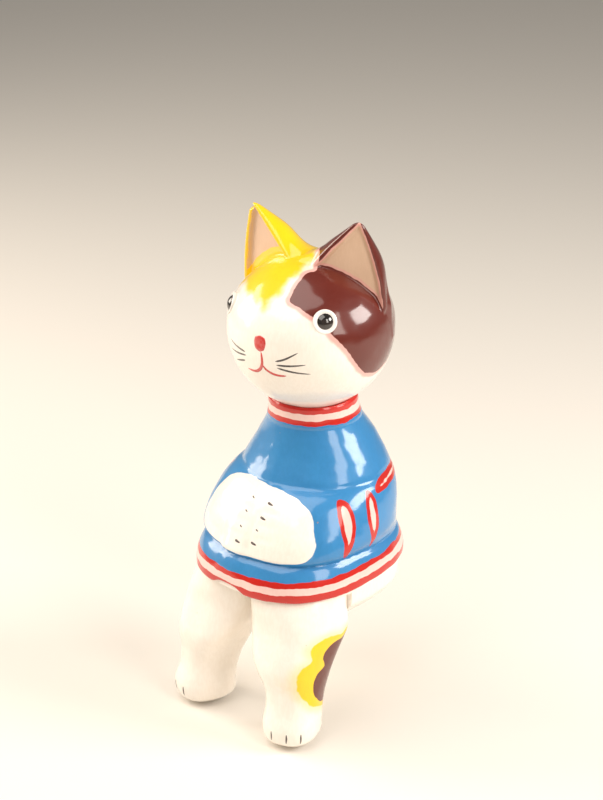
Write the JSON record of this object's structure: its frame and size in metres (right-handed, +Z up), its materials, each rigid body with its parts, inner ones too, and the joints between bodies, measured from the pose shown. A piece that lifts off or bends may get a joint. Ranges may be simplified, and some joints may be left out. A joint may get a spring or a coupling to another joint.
{
  "type": "figurine",
  "caption": "Carved and painted wooden cat in a sweater that sits on the edge of a shelf with its legs hanging down.",
  "frame": {"origin": "on the flat seat face, under the axis of the neck", "axes": "+Z up, the cat looks along -Y, +X is its left side"},
  "size_m": [0.086, 0.0945, 0.2319],
  "materials": {
    "head_paint": "cream enamel with yellow and brown patches under gloss varnish",
    "sweater_paint": "blue enamel with red and white bands under gloss varnish",
    "leg_paint": "cream enamel under gloss varnish",
    "bare_wood": "bare turned beech",
    "eye_white": "white enamel under gloss varnish",
    "pupil": "glossy black bead"
  },
  "bodies": {
    "root": {"head": "head_paint", "torso": "sweater_paint", "left_leg": "leg_paint", "right_leg": "leg_paint", "neck_dowel": "bare_wood", "left_leg_dowel": "bare_wood", "right_leg_dowel": "bare_wood", "left_eye_white": "eye_white", "right_eye_white": "eye_white", "left_pupil": "pupil", "right_pupil": "pupil"}
  },
  "joints": []
}
